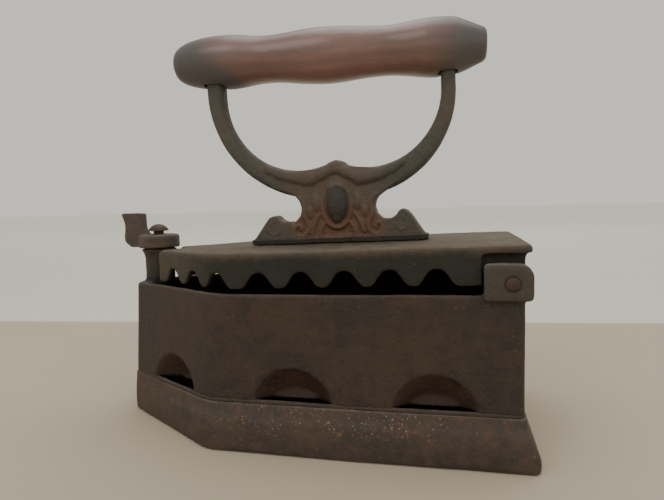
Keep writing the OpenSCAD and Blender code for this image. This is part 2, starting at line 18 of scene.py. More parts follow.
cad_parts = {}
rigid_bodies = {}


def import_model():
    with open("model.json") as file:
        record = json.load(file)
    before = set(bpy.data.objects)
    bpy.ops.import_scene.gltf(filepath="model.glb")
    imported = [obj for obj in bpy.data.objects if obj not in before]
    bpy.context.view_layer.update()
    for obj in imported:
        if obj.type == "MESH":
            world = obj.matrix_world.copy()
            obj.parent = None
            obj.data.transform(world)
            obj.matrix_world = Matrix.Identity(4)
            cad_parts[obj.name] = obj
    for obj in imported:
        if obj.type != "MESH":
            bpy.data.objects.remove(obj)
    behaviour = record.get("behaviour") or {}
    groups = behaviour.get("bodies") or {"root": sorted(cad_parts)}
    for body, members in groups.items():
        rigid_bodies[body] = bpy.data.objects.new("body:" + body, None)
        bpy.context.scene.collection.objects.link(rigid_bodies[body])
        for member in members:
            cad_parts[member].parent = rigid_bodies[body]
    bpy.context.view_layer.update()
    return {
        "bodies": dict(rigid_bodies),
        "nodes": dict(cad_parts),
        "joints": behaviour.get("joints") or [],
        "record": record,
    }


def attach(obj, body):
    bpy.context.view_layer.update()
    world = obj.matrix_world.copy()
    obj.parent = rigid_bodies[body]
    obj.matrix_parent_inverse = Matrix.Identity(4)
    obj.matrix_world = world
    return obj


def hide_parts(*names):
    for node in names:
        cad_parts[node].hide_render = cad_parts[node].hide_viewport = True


LOG = logging.getLogger("iron")
MM = 0.001

Point = tuple[float, float, float]
Flat = tuple[float, float]
Colour = tuple[float, float, float]
BOTH_WAYS = (-1, 1)


class Body(Enum):
    """The bodies that the pieces made here ride on."""

    BASE = "base"
    LID = "lid"


class Slot(Enum):
    """The record's material slots, each with a finish of the same name."""

    SOLE = "sole_iron"
    CASING = "casing_iron"
    SOOTY = "sooty_iron"
    FASTENER = "fastener_steel"
    CATCH = "catch_iron"
    LID = "lid_iron"
    YOKE = "yoke_iron"
    GRIP = "grip_wood"


# ---------------------------------------------------------------------------
# Shader maths
# ---------------------------------------------------------------------------


class Val:
    """A value that varies over a surface, with arithmetic that adds Math nodes."""

    def __init__(self, recipe: "Recipe", socket: bpy.types.NodeSocket) -> None:
        """Keeps the socket and the recipe that it belongs to.

        Args:
            recipe: The material in the making.
            socket: The node's output that holds the value.
        """
        self.recipe = recipe
        self.socket = socket

    def __add__(self, other: "Val | float") -> "Val":
        """The sum of two values."""
        return self.recipe.maths("ADD", self, other)

    __radd__ = __add__

    def __mul__(self, other: "Val | float") -> "Val":
        """The product of two values."""
        return self.recipe.maths("MULTIPLY", self, other)

    __rmul__ = __mul__

    def __sub__(self, other: "Val | float") -> "Val":
        """This value less another."""
        return self.recipe.maths("SUBTRACT", self, other)

    def __rsub__(self, other: float) -> "Val":
        """A number less this value."""
        return self.recipe.maths("SUBTRACT", other, self)

    def __abs__(self) -> "Val":
        """The size of this value, without its sign."""
        return self.recipe.maths("ABSOLUTE", self)


class Recipe:
    """One material in the making, with its node tree and its shader."""

    def __init__(self, name: str) -> None:
        """Starts an empty material.

        Args:
            name: The material's name.
        """
        self.material = bpy.data.materials.new(name)
        self.material.use_nodes = True
        self.tree = self.material.node_tree
        self.tree.nodes.clear()
        self.shader = self.node("ShaderNodeBsdfPrincipled")
        output = self.node("ShaderNodeOutputMaterial")
        self.tree.links.new(self.shader.outputs["BSDF"], output.inputs["Surface"])
        self.places = self.node("ShaderNodeTexCoord")
        self.axes = self.node("ShaderNodeSeparateXYZ", sockets={"Vector": self.places.outputs["Object"]})

    def node(
        self,
        kind: str,
        settings: Mapping[str, Any] | None = None,
        sockets: Mapping[str | int, Any] | None = None,
    ) -> bpy.types.Node:
        """Adds one node.

        Args:
            kind: The node's type.
            settings: Its own settings, set first.
            sockets: Values or links of its inputs, by name or number.

        Returns:
            The new node.
        """
        made = self.tree.nodes.new(kind)
        for key, value in (settings or {}).items():
            setattr(made, key, value)
        for key, value in (sockets or {}).items():
            self.plug(made.inputs[key], value)
        return made

    def plug(self, socket: bpy.types.NodeSocket, value: Any) -> None:
        """Links a varying value to an input, or sets a constant there.

        Args:
            socket: The input.
            value: A value, another node's socket, or a constant.
        """
        if isinstance(value, Val):
            value = value.socket
        if isinstance(value, bpy.types.NodeSocket):
            self.tree.links.new(value, socket)
        else:
            socket.default_value = value

    def maths(self, operation: str, *values: Val | float) -> Val:
        """One Math node.

        Args:
            operation: What the node does.
            values: Its inputs in order.

        Returns:
            Its result.
        """
        sockets = dict(enumerate(values))
        return Val(self, self.node("ShaderNodeMath", {"operation": operation}, sockets).outputs[0])

    def along(self, axis: str) -> Val:
        """Where a point lies along an axis of the frame, in millimetres."""
        return Val(self, self.axes.outputs[axis]) * (1 / MM)

    def facing(self, axis: str) -> Val:
        """How far the surface faces along an axis, from -1 to 1, in the piece's own frame."""
        split = self.node("ShaderNodeSeparateXYZ", sockets={"Vector": self.places.outputs["Normal"]})
        return Val(self, split.outputs[axis])

    def edges(self) -> Val:
        """How sharply the surface bends: 0.5 where flat, more on edges, less in corners."""
        return Val(self, self.node("ShaderNodeNewGeometry").outputs["Pointiness"])

    def stretched(self, stretch: Point) -> bpy.types.NodeSocket:
        """Scales the places that a pattern is drawn on, for a pattern with a direction.

        Args:
            stretch: Factor along each axis.

        Returns:
            The scaled places' socket.
        """
        settings = {"operation": "MULTIPLY"}
        sockets = {0: self.places.outputs["Object"], 1: stretch}
        return self.node("ShaderNodeVectorMath", settings, sockets).outputs["Vector"]

    def noise(
        self,
        size: float,
        detail: float = 3,
        roughness: float = 0.55,
        seed: float = 0,
        stretch: Point = (1, 1, 1),
    ) -> Val:
        """Soft random pattern around 0.5.

        Args:
            size: Size of the largest blots in millimetres.
            detail: Number of finer layers.
            roughness: Strength of the finer layers.
            seed: Which pattern of the many.
            stretch: Factor along each axis, small for long streaks.

        Returns:
            The pattern's value.
        """
        sockets = {
            "Vector": self.stretched(stretch),
            "W": seed,
            "Scale": 1 / (size * MM),
            "Detail": detail,
            "Roughness": roughness,
        }
        made = self.node("ShaderNodeTexNoise", {"noise_dimensions": "4D"}, sockets)
        return Val(self, made.outputs[0])

    def specks(self, pitch: float, size: float, seed: float) -> Val:
        """Small round dots strewn over the surface.

        Args:
            pitch: Mean distance between dots in millimetres.
            size: Radius of a dot, as a share of the pitch.
            seed: Shifts the pattern.

        Returns:
            1 on a dot and 0 beside it.
        """
        sockets = {"Vector": self.stretched((1, 1, 1)), "W": seed, "Scale": 1 / (pitch * MM)}
        made = self.node("ShaderNodeTexVoronoi", {"voronoi_dimensions": "4D"}, sockets)
        return 1 - self.band(Val(self, made.outputs["Distance"]), size * 0.6, size)

    def band(self, value: Val, low: float, high: float) -> Val:
        """Rises smoothly from 0 to 1.

        Args:
            value: The value that is measured.
            low: Where the band starts.
            high: Where the band ends.

        Returns:
            0 up to low and 1 from high on.
        """
        settings = {"interpolation_type": "SMOOTHSTEP"}
        sockets = {"Value": value, "From Min": low, "From Max": high}
        return Val(self, self.node("ShaderNodeMapRange", settings, sockets).outputs[0])

    def blend(self, share: Val | float, first: Any, second: Any) -> bpy.types.NodeSocket:
        """Mixes two colours.

        Args:
            share: How much of the second colour shows.
            first: A colour or a colour's socket.
            second: A colour or a colour's socket.

        Returns:
            The mixed colour's socket.
        """
        settings = {"data_type": "RGBA", "clamp_factor": True}
        a, b = (c if isinstance(c, bpy.types.NodeSocket) else (*c, 1) for c in (first, second))
        return self.node("ShaderNodeMix", settings, {0: share, 6: a, 7: b}).outputs[2]

    def shade(self, colour: Any, value: Val) -> bpy.types.NodeSocket:
        """Multiplies a colour by a value.

        Args:
            colour: A colour or a colour's socket.
            value: What it is multiplied by.

        Returns:
            The shaded colour's socket.
        """
        grey = self.node("ShaderNodeCombineXYZ", sockets={0: value, 1: value, 2: value}).outputs[0]
        settings = {"operation": "MULTIPLY"}
        return self.node("ShaderNodeVectorMath", settings, {0: colour, 1: grey}).outputs["Vector"]

    def relief(
        self, height: Val, depth: float, below: bpy.types.NodeSocket | None = None
    ) -> bpy.types.NodeSocket:
        """Bumps the surface.

        Args:
            height: Height of the bumps, from 0 to 1.
            depth: How deep the full height is, in millimetres.
            below: A coarser relief under this one.

        Returns:
            The bent normal's socket.
        """
        sockets = {"Strength": 1.0, "Distance": depth * MM, "Height": height}
        if below is not None:
            sockets["Normal"] = below
        return self.node("ShaderNodeBump", sockets=sockets).outputs[0]

    def finish(self, **sockets: Any) -> bpy.types.Material:
        """Sets the shader's sockets and gives the finished material.

        Args:
            sockets: Values or links, by socket name with _ for a space.

        Returns:
            The material.
        """
        for key, value in sockets.items():
            self.plug(self.shader.inputs[key.replace("_", " ")], value)
        return self.material


def tint(red: int, green: int, blue: int) -> Colour:
    """A colour given as it shows on a screen, from 0 to 255, as the shader needs it."""
    share = (c / 255 for c in (red, green, blue))
    return tuple(c / 12.92 if c <= 0.04045 else ((c + 0.055) / 1.055) ** 2.4 for c in share)


# ---------------------------------------------------------------------------
# Curves
# ---------------------------------------------------------------------------


def arc(centre: Flat, radius: float, start: float, end: float, steps: int) -> list[Flat]:
    """Points on an arc.

    Args:
        centre: The arc's centre.
        radius: Its radius.
        start: First angle in degrees.
        end: Last angle in degrees.
        steps: Number of chords.

    Returns:
        The points in order.
    """
    turns = (math.radians(start + (end - start) * i / steps) for i in range(steps + 1))
    return [(centre[0] + radius * math.cos(a), centre[1] + radius * math.sin(a)) for a in turns]


def circle(radius: float, points: int) -> list[Flat]:
    """Points round a circle about the origin."""
    turns = (2 * math.pi * k / points for k in range(points))
    return [(radius * math.cos(a), radius * math.sin(a)) for a in turns]


def smooth(path: Sequence[Flat], steps: int = 5) -> list[Flat]:
    """A smooth curve through every point of a path.

    Args:
        path: The points in order.
        steps: Number of chords from one point to the next.

    Returns:
        The curve's points.
    """
    curve = []
    for i in range(len(path) - 1):
        a, b, c, d = (Vector(path[min(max(j, 0), len(path) - 1)]) for j in (i - 1, i, i + 1, i + 2))
        for k in range(steps):
            t = k / steps
            bend = (2 * a - 5 * b + 4 * c - d) * t * t
            turn = (3 * b - a - 3 * c + d) * t**3
            point = (2 * b + (c - a) * t + bend + turn) / 2
            curve.append((point.x, point.y))
    return [*curve, path[-1]]


def rounded(corners: Sequence[Flat], radii: Sequence[float], steps: int = 6) -> list[Flat]:
    """A closed outline with an arc at every corner.

    Args:
        corners: The corners in order.
        radii: Radius of each corner's arc.
        steps: Number of chords in each arc.

    Returns:
        The outline's points.
    """
    outline = []
    count = len(corners)
    for i, radius in enumerate(radii):
        before, here, after = (Vector(corners[(i + j) % count]) for j in (-1, 0, 1))
        u, v = (before - here).normalized(), (after - here).normalized()
        half = u.angle(v) / 2
        centre = here + (u + v).normalized() * radius / math.sin(half)
        first = here + u * radius / math.tan(half) - centre
        last = here + v * radius / math.tan(half) - centre
        start, turn = math.atan2(first.y, first.x), math.atan2(first.cross(last), first.dot(last))
        angles = (start + turn * k / steps for k in range(steps + 1))
        outline += [(centre.x + radius * math.cos(a), centre.y + radius * math.sin(a)) for a in angles]
    return outline


def between(knots: Sequence[Flat], x: float) -> float:
    """The height at one place of a soft line through knots.

    Args:
        knots: The knots, in rising order.
        x: The place.

    Returns:
        The line's height there.
    """
    for (x0, y0), (x1, y1) in zip(knots, knots[1:]):
        if x <= x1:
            share = max(0.0, (x - x0) / (x1 - x0))
            return y0 + (y1 - y0) * share * share * (3 - 2 * share)
    return knots[-1][1]


def section(
    outer: Flat, inner: Flat, half: float, squareness: float = 3.0, points: int = 28
) -> list[Point]:
    """Rounded cross-section of an upright bar.

    Args:
        outer: Its outer edge in X and Z.
        inner: Its inner edge in X and Z.
        half: Half its thickness along Y.
        squareness: 2 for an ellipse, more for a squarer bar.
        points: Number of points.

    Returns:
        The ring of points.
    """
    ring = []
    for k in range(points):
        c, s = math.cos(2 * math.pi * k / points), math.sin(2 * math.pi * k / points)
        u = (1 + math.copysign(abs(c) ** (2 / squareness), c)) / 2
        v = math.copysign(abs(s) ** (2 / squareness), s)
        ring.append((outer[0] + (inner[0] - outer[0]) * u, half * v, outer[1] + (inner[1] - outer[1]) * u))
    return ring


# ---------------------------------------------------------------------------
# Places on the object
# ---------------------------------------------------------------------------


@dataclass(frozen=True)
class LidFrame:
    """The lid's own frame: its origin is on the lid's top, its X runs along the slope."""

    height: float = 90.2
    tilt: float = 1.49

    def matrix(self) -> Matrix:
        """Takes millimetres in the lid's frame to metres in the shared frame."""
        turn = Matrix.Rotation(math.radians(-self.tilt), 4, "Y")
        return Matrix.Scale(MM, 4) @ Matrix.Translation((0, 0, self.height)) @ turn

    def levelled(self, mix: Recipe) -> Val:
        """Height of a point in millimetres, less the rise of the lid's slope."""
        return mix.along("Z") - mix.along("X") * math.tan(math.radians(self.tilt))


@dataclass(frozen=True)
class BoxPlan:
    """The casing's outline at its foot, and how its bow and toe lean back towards the rim.

    The slope and the leans are in millimetres for each millimetre.
    """

    rear: float = 97.6
    half: float = 46.1
    toe: float = 102.3
    toe_half: float = 10.5
    bow_slope: float = 0.596
    belly: Flat = (25.0, 0.9)
    corner_radii: Sequence[float] = (3.5, 1200.0, 26.0, 4.0)
    foot_z: float = 21.0
    rim_z: float = 72.0
    bow_lean: float = 0.0707
    toe_lean: float = 0.04

    def outline(self, inset: float) -> list[Flat]:
        """The rounded outline in X and Y, with a slight belly in its sides.

        Args:
            inset: How far it stays inside the casing's faces.

        Returns:
            The outline's points.
        """
        shoulder = -self.toe + (self.half - self.toe_half) / self.bow_slope
        side = [
            (self.rear - inset, self.half - inset),
            (self.belly[0], self.half + self.belly[1] - inset),
            (shoulder, self.half - inset),
            (inset - self.toe, self.toe_half - inset),
        ]
        corners = [*side, *((x, -y) for x, y in reversed(side))]
        return rounded(corners, (*self.corner_radii, *reversed(self.corner_radii)))

    def depth(self, mix: Recipe) -> Val:
        """How far a point lies behind the nearest outer face, in millimetres.

        Args:
            mix: The material in the making.

        Returns:
            The depth.
        """
        across = abs(mix.along("Y"))
        height = mix.along("Z") - self.foot_z
        nose_half = self.toe_half + self.bow_slope * self.toe
        bow_half = mix.along("X") * self.bow_slope + nose_half - height * self.bow_lean
        from_bow = (bow_half - across) * math.cos(math.atan(self.bow_slope))
        from_rear = self.rear - mix.along("X")
        from_toe = mix.along("X") + self.toe - height * self.toe_lean
        ends = mix.maths("MINIMUM", from_rear, from_toe)
        return mix.maths("MINIMUM", mix.maths("MINIMUM", self.half - across, from_bow), ends)


# ---------------------------------------------------------------------------
# Finishes
# ---------------------------------------------------------------------------


@dataclass(frozen=True)
class RustedIron:
    """Cast iron after years of use: dull skin, brown rust, fresh rust, settled dust and pitting."""

    name: str
    skin: Colour
    rust: Colour
    fresh: Colour = tint(118, 66, 34)
    dust: Colour = tint(150, 136, 118)
    worn: Colour = tint(112, 104, 94)
    rust_share: float = 0.5
    fresh_share: float = 0.1
    dust_share: float = 0.3
    speck_share: float = 0.15
    wear_share: float = 0.35
    roughness: float = 0.66
    metal: float = 0.25
    broad_size: float = 34.0
    mottle_size: float = 6.0
    grit_size: float = 1.1
    pit_size: float = 2.3
    pit_depth: float = 0.45
    grit_depth: float = 0.16
    seed: float = 0.0

    def zones(self, mix: Recipe, colour: bpy.types.NodeSocket) -> bpy.types.NodeSocket:
        """Colours parts of the piece differently; plain iron has no zones.

        Args:
            mix: The material in the making; not used by plain iron.
            colour: The iron's colour so far.

        Returns:
            The colour with its zones.
        """
        return colour

    def dusting(self, mix: Recipe) -> Val:
        """Where dust lies: on faces that look up, in patches."""
        patches = mix.band(mix.noise(7, 5, 0.65, self.seed + 4), 0.36, 0.62)
        return mix.band(mix.facing("Z"), 0.6, 0.97) * (0.35 + 0.65 * patches) * self.dust_share

    def material(self) -> bpy.types.Material:
        """Builds the finish.

        Returns:
            The material.
        """
        mix = Recipe(self.name)
        broad = mix.noise(self.broad_size, 3, 0.5, self.seed)
        mottle = mix.noise(self.mottle_size, 6, 0.68, self.seed + 1)
        grit = mix.noise(self.grit_size, 3, 0.6, self.seed + 2)
        # Brown rust lies on the dull skin in soft patches, and fresh rust on both in small blooms
        level = 0.62 - 0.24 * self.rust_share
        rusty = mix.band(0.5 * broad + 0.5 * mottle, level - 0.07, level + 0.07)
        colour = mix.blend(rusty, self.skin, self.rust)
        blooms = mix.band(mix.noise(11, 6, 0.7, self.seed + 3), 0.66 - 0.2 * self.fresh_share, 0.78)
        colour = mix.blend(blooms * mix.band(grit, 0.35, 0.6) * 0.8, colour, self.fresh)
        colour = self.zones(mix, colour)
        colour = mix.shade(colour, 0.62 + 0.45 * mottle + 0.32 * grit)
        # Edges are rubbed bare, and corners are darkened with painted shade
        edges = mix.edges()
        colour = mix.blend(mix.band(edges, 0.51, 0.6) * self.wear_share * (0.4 + mottle), colour, self.worn)
        colour = mix.shade(colour, 0.45 + 0.55 * mix.band(edges, 0.38, 0.5))
        # Dust lies on what faces up, and specks of it anywhere
        dusty = self.dusting(mix)
        colour = mix.blend(dusty, colour, self.dust)
        strewn = mix.band(mix.noise(16, 3, 0.5, self.seed + 6), 0.42, 0.6)
        specks = mix.specks(2.4, 0.24, self.seed + 5) * strewn
        colour = mix.blend(specks * self.speck_share, colour, self.dust)
        pits = mix.band(mix.noise(self.pit_size, 4, 0.6, self.seed + 7), 0.3, 0.52)
        lumps = mix.relief(0.6 * mottle + 0.4 * pits, self.pit_depth)
        normal = mix.relief(grit, self.grit_depth, lumps)
        return mix.finish(
            Base_Color=colour,
            Roughness=self.roughness + 0.2 * rusty + 0.15 * dusty - 0.1 * grit,
            Metallic=self.metal * (1 - rusty) * (1 - dusty),
            Normal=normal,
        )


@dataclass(frozen=True)
class CasingIron(RustedIron):
    """The casing's iron: brown outside, sooty inside, with redder scoops."""

    plan: BoxPlan = BoxPlan()
    scoop_top: float = 38.0
    cheek_x: float = 80.0
    cheek_z: float = 70.0
    soot: Colour = tint(24, 22, 21)
    scoop_red: Colour = tint(78, 54, 45)
    cheek_grey: Colour = tint(84, 78, 72)

    def zones(self, mix: Recipe, colour: bpy.types.NodeSocket) -> bpy.types.NodeSocket:
        """Soot on the inner walls, red rust in the scoops and greyer cheeks.

        Args:
            mix: The material in the making.
            colour: The iron's colour so far.

        Returns:
            The colour with its zones.
        """
        depth = self.plan.depth(mix)
        low = 1 - mix.band(mix.along("Z"), self.scoop_top - 3, self.scoop_top)
        inside = mix.band(depth, 2.2, 3.4)
        bowl = mix.band(depth, 0.6, 2.5) * low
        colour = mix.blend(bowl * 0.8, colour, self.scoop_red)
        rearmost = mix.band(mix.along("X"), self.cheek_x, self.cheek_x + 1)
        cheek = rearmost * mix.band(mix.along("Z"), self.cheek_z - 1, self.cheek_z)
        colour = mix.blend(cheek * 0.6, colour, self.cheek_grey)
        boxed = 1 - mix.band(mix.along("Z"), self.plan.rim_z, self.plan.rim_z + 1)
        return mix.blend(inside * (1 - low * 0.8) * boxed, colour, self.soot)


@dataclass(frozen=True)
class LidIron(RustedIron):
    """The lid's iron: a dusty top, a greenish skirt darkened with painted shade, and a smoky underside."""

    lid_frame: LidFrame = LidFrame()
    skirt_top: float = 85.0
    shade_and_smoke_x: float = -55.0
    # Dark grey for the painted shade on the skirt and the smoke on the underside
    smoke: Colour = tint(33, 35, 31)

    def zones(self, mix: Recipe, colour: bpy.types.NodeSocket) -> bpy.types.NodeSocket:
        """Painted shade on the skirt and smoke on the underside, behind the bow.

        Args:
            mix: The material in the making.
            colour: The iron's colour so far.

        Returns:
            The colour with its zones.
        """
        # Painted shade on the skirt under the plate, and smoke on the underside, below the skirt's top and
        # behind the bow
        ragged = self.lid_frame.levelled(mix) + 6 * (mix.noise(9, 3, 0.5, self.seed) - 0.5)
        low = 1 - mix.band(ragged, self.skirt_top, self.skirt_top + 4)
        behind = mix.band(mix.along("X"), self.shade_and_smoke_x - 15, self.shade_and_smoke_x + 15)
        return mix.blend(low * behind * 0.86, colour, self.smoke)


@dataclass(frozen=True)
class YokeIron(RustedIron):
    """The yoke's iron: grey-green arms, and orange rust on the waist and the foot."""

    waist_x: float = 12.3
    waist_z: float = 98.0
    rust_half_x: float = 26.0
    rust_half_z: float = 15.0
    brown_half_x: float = 30.0
    brown_half_z: float = 46.0
    cabochon_z: float = 109.9
    cabochon_half: Flat = (6.0, 9.8)
    # Heights above the lid over which the painted shade at the foot fades
    foot_shade_band: Flat = (2.8, 4.2)
    lid_frame: LidFrame = LidFrame()
    ochre: Colour = tint(110, 72, 50)
    brown: Colour = tint(98, 82, 71)
    smoke: Colour = tint(56, 57, 52)
    # Colour of the painted shade along the foot's bottom
    foot_shade: Colour = tint(30, 26, 22)

    def zones(self, mix: Recipe, colour: bpy.types.NodeSocket) -> bpy.types.NodeSocket:
        """Brown and orange rust round the ornament, a rubbed cabochon and painted shade along the foot's
        bottom.

        Args:
            mix: The material in the making.
            colour: The iron's colour so far.

        Returns:
            The colour with its zones.
        """
        side, up = mix.along("X") - self.waist_x, mix.along("Z") - self.waist_z
        wide = side * side * self.brown_half_x**-2 + up * up * self.brown_half_z**-2
        broad = 1 - mix.band(wide + 1.6 * (mix.noise(14, 5, 0.65, 52) - 0.5), 0.2, 1.3)
        colour = mix.blend(broad * 0.75, colour, self.brown)
        far = side * side * self.rust_half_x**-2 + up * up * self.rust_half_z**-2
        near = 1 - mix.band(far + 2.2 * (mix.noise(6, 5, 0.65, 51) - 0.5), 0.2, 1.2)
        colour = mix.blend(near * 0.62, colour, self.ochre)
        oval_x = side * (1 / self.cabochon_half[0])
        oval_z = (mix.along("Z") - self.cabochon_z) * (1 / self.cabochon_half[1])
        oval = 1 - mix.band(oval_x * oval_x + oval_z * oval_z, 0.75, 1.0)
        colour = mix.blend(oval * 0.85, colour, self.smoke)
        # Painted shade along the foot's bottom, where it stands on the lid
        lift = self.lid_frame.levelled(mix) - self.lid_frame.height
        return mix.blend((1 - mix.band(lift, *self.foot_shade_band)) * 0.8, colour, self.foot_shade)


@dataclass(frozen=True)
class SoleIron(RustedIron):
    """The sole's iron: a speckled ledge above, a rubbed face below."""

    ledge_z: float = 10.0
    ochre: Colour = tint(100, 68, 44)
    rubbed: Colour = tint(92, 88, 84)
    scale_pale: Colour = tint(164, 150, 132)
    scale_rusty: Colour = tint(150, 96, 62)
    scaly_x: Flat = (-48.0, 82.0)
    scaly_fade: float = 30.0
    scaly_z: float = 11.0

    def zones(self, mix: Recipe, colour: bpy.types.NodeSocket) -> bpy.types.NodeSocket:
        """Ochre rust and flakes of scale on the ledge, and rubbed iron on the ironing face.

        Args:
            mix: The material in the making.
            colour: The iron's colour so far.

        Returns:
            The colour with its zones.
        """
        high = mix.band(mix.along("Z"), self.ledge_z, self.ledge_z + 5)
        blots = mix.band(mix.noise(3.5, 6, 0.75, 61), 0.52, 0.66)
        colour = mix.blend(high * blots * 0.65, colour, self.ochre)
        front, rear = self.scaly_x
        scaly = mix.band(mix.along("X"), front, front + self.scaly_fade)
        scaly = scaly * (1 - mix.band(mix.along("X"), rear - self.scaly_fade, rear))
        scaly = scaly * mix.band(mix.along("Z"), self.scaly_z - 3, self.scaly_z + 3)
        scaly = scaly * mix.band(mix.noise(7, 4, 0.6, 62), 0.4, 0.6)
        colour = mix.blend(mix.specks(1.3, 0.36, 63) * scaly * 0.55, colour, self.scale_pale)
        colour = mix.blend(mix.specks(1.9, 0.36, 64) * scaly * 0.6, colour, self.scale_rusty)
        face = 1 - mix.band(mix.along("Z"), 0.4, 1.0)
        return mix.blend(face * 0.75, colour, self.rubbed)


@dataclass(frozen=True)
class TurnedWood:
    """Old polished hardwood with long grain, greyed at both ends and dark low down at the toe's end."""

    name: str
    heart: Colour = tint(132, 95, 87)
    line: Colour = tint(106, 80, 73)
    char: Colour = tint(77, 77, 78)
    sheen: Colour = tint(152, 122, 112)
    middle_x: float = 8.0
    clear_half: float = 44.0
    char_half: float = 68.0
    dark_z: float = 179.0
    streak_size: float = 5.5
    fibre_size: float = 1.3
    blot_size: float = 26.0
    seed: float = 80.0

    def material(self) -> bpy.types.Material:
        """Builds the finish.

        Returns:
            The material.
        """
        mix = Recipe(self.name)
        streaks = mix.noise(self.streak_size, 5, 0.6, self.seed, (0.07, 1, 1))
        fibres = mix.noise(self.fibre_size, 3, 0.6, self.seed + 1, (0.03, 1, 1))
        blots = mix.noise(self.blot_size, 4, 0.55, self.seed + 2, (0.6, 1, 1))
        settings = {"wave_type": "RINGS", "rings_direction": "X"}
        sockets = {
            "Vector": mix.stretched((0.35, 1, 1)),
            "Scale": 42.0,
            "Distortion": 5.0,
            "Detail": 3.0,
            "Detail Scale": 1.4,
            "Phase Offset": 1.0,
        }
        rings = Val(mix, mix.node("ShaderNodeTexWave", settings, sockets).outputs[1])
        grain = 0.45 * rings + 0.55 * streaks
        ripe = mix.band(grain, 0.2, 0.75) * 0.55 + mix.band(blots, 0.3, 0.7) * 0.45
        colour = mix.blend(ripe, self.line, self.heart)
        colour = mix.blend(mix.band(fibres, 0.55, 0.72) * 0.2, colour, self.sheen)
        colour = mix.blend((1 - mix.band(fibres, 0.3, 0.42)) * 0.25, colour, self.line)
        # The underside at the toe's end is darkened, and hands have darkened both ends
        low = mix.band(self.dark_z - mix.along("Z"), -6, 8) * mix.band(0 - mix.along("X"), 10, 45)
        out = abs(mix.along("X") - self.middle_x) + 34 * (blots - 0.5) + 22 * low
        charred = mix.band(out, self.clear_half, self.char_half)
        colour = mix.blend(charred * 0.88, colour, self.char)
        soot = mix.band(mix.noise(4, 5, 0.7, self.seed + 3), 0.55, 0.68)
        colour = mix.blend(soot * (0.25 + 0.5 * charred), colour, self.char)
        dents = mix.relief(mix.noise(9, 4, 0.6, self.seed + 4), 0.35)
        normal = mix.relief(0.6 * fibres + 0.4 * streaks, 0.14, dents)
        return mix.finish(
            Base_Color=mix.shade(colour, 0.72 + 0.5 * blots),
            Roughness=0.42 + 0.2 * charred + 0.12 * streaks,
            Coat_Weight=0.7 - 0.4 * charred,
            Coat_Roughness=0.24,
            Normal=normal,
        )


@dataclass(frozen=True)
class FloorPaint:
    """A pale, faintly mottled table that turns to a lighter tone behind the object."""

    name: str
    table: Colour
    beyond: Colour
    distant: Colour
    edge_y: float = 209.0
    edge_slope: float = 0.094

    def material(self) -> bpy.types.Material:
        """Builds the finish.

        Returns:
            The material.
        """
        mix = Recipe(self.name)
        cloud = mix.noise(120, 3, 0.5, 90)
        past = mix.along("Y") - mix.along("X") * self.edge_slope
        far = mix.band(past, self.edge_y - 3, self.edge_y + 3)
        distant = mix.band(past, self.edge_y + 100, self.edge_y + 1300)
        wall = mix.blend(distant, self.beyond, self.distant)
        colour = mix.shade(mix.blend(far, self.table, wall), 0.96 + 0.08 * cloud)
        grain = mix.relief(mix.noise(1.5, 2, 0.5, 91), 0.05)
        return mix.finish(
            Base_Color=colour, Roughness=0.6 + 0.1 * cloud, Specular_IOR_Level=0.05, Normal=grain
        )


# ---------------------------------------------------------------------------
# Shapes
# ---------------------------------------------------------------------------


@dataclass(frozen=True)
class WornCasting:
    """Softens a piece as sand casting, handling and rust do. The surface only ever moves inward."""

    voxel: float = 0.9
    rounds: int = 4
    lump_depth: float = 0.35
    lump_size: float = 14.0
    pit_depth: float = 0.12
    pit_size: float = 2.6

    def apply(self, piece: bpy.types.Object) -> None:
        """Adds the modifiers.

        Args:
            piece: The piece to soften.
        """
        skin = piece.modifiers.new("skin", "REMESH")
        skin.mode = "VOXEL"
        skin.voxel_size = self.voxel * MM
        skin.use_smooth_shade = True
        soften = piece.modifiers.new("soften", "SMOOTH")
        soften.factor = 0.5
        soften.iterations = self.rounds
        self._sink(piece, "lumps", self.lump_depth, self.lump_size)
        self._sink(piece, "pits", self.pit_depth, self.pit_size)

    @staticmethod
    def _sink(piece: bpy.types.Object, name: str, depth: float, size: float) -> None:
        """Sinks the surface by a soft pattern.

        Args:
            piece: The piece to sink.
            name: The modifier's name.
            depth: The deepest sink in millimetres.
            size: The pattern's size in millimetres.
        """
        key = f"{name}_{size:g}"
        pattern = bpy.data.textures.get(key) or bpy.data.textures.new(key, "CLOUDS")
        pattern.noise_scale = size * MM
        pattern.noise_depth = 2
        sink = piece.modifiers.new(name, "DISPLACE")
        sink.texture = pattern
        sink.strength = depth * MM
        sink.mid_level = 1.0


